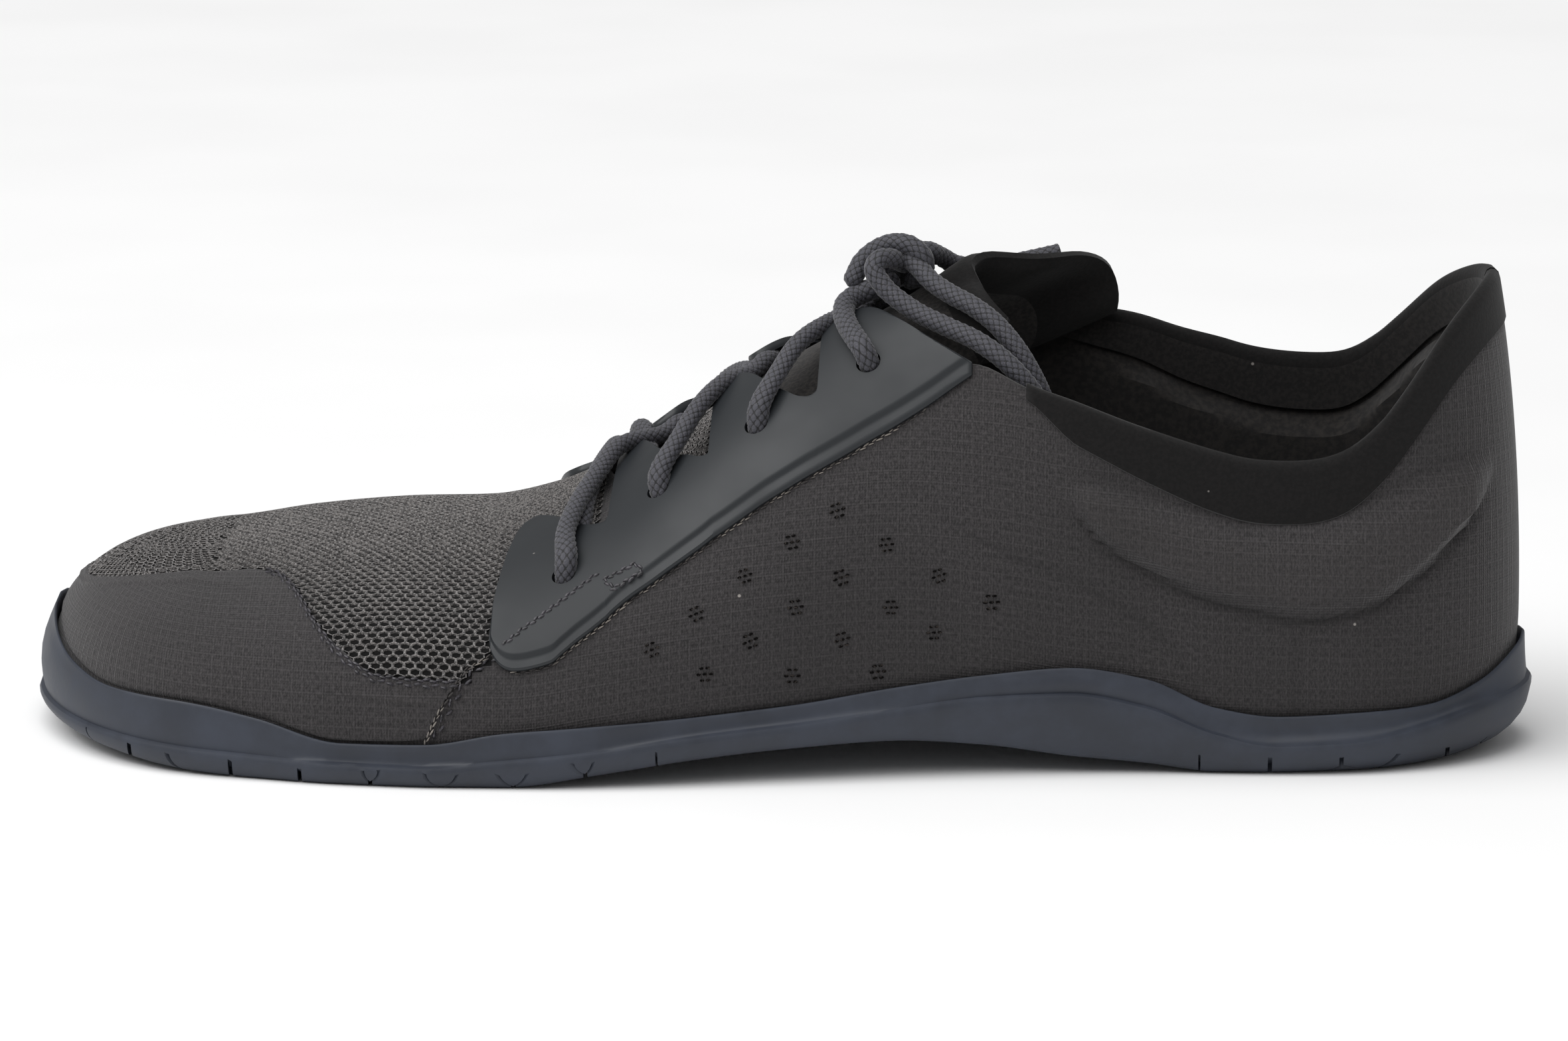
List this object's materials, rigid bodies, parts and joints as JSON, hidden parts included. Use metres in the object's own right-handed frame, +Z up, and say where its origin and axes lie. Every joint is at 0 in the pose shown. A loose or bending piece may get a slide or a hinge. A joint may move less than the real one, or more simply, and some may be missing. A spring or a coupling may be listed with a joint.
{
  "type": "barefoot running shoe",
  "caption": "Low barefoot running shoe for the left foot: flat lugged cup sole, hollow woven upper with scalloped eyestays, thin tongue and tied round laces.",
  "frame": {"origin": "centre of the shoe's outline, on the ground under the sole", "axes": "-X points from heel to toe, -Y to the outer (lateral) side of the left foot, +Z up"},
  "size_m": [0.288, 0.1038, 0.0981],
  "materials": {
    "sole_rubber": "satin",
    "shell_cloth": "matte",
    "footbed_foam": "matte",
    "tongue_knit": "matte",
    "eyestay_film": "satin",
    "toe_ripstop": "satin",
    "collar_suede": "matte",
    "lace_braid": "matte"
  },
  "bodies": {
    "root": {"outsole": "sole_rubber", "upper": "shell_cloth", "insole": "footbed_foam", "tongue": "tongue_knit", "eyestay_lateral": "eyestay_film", "eyestay_medial": "eyestay_film", "toe_cap": "toe_ripstop", "collar_band": "collar_suede", "heel_pad_lateral": "shell_cloth", "heel_pad_medial": "shell_cloth", "lace_cross_1": "lace_braid", "lace_cross_2": "lace_braid", "lace_cross_3": "lace_braid", "lace_tail_lateral": "lace_braid", "lace_tail_medial": "lace_braid", "lace_knot": "lace_braid", "lace_loop_1": "lace_braid", "lace_loop_2": "lace_braid", "lace_loop_3": "lace_braid"}
  },
  "joints": []
}
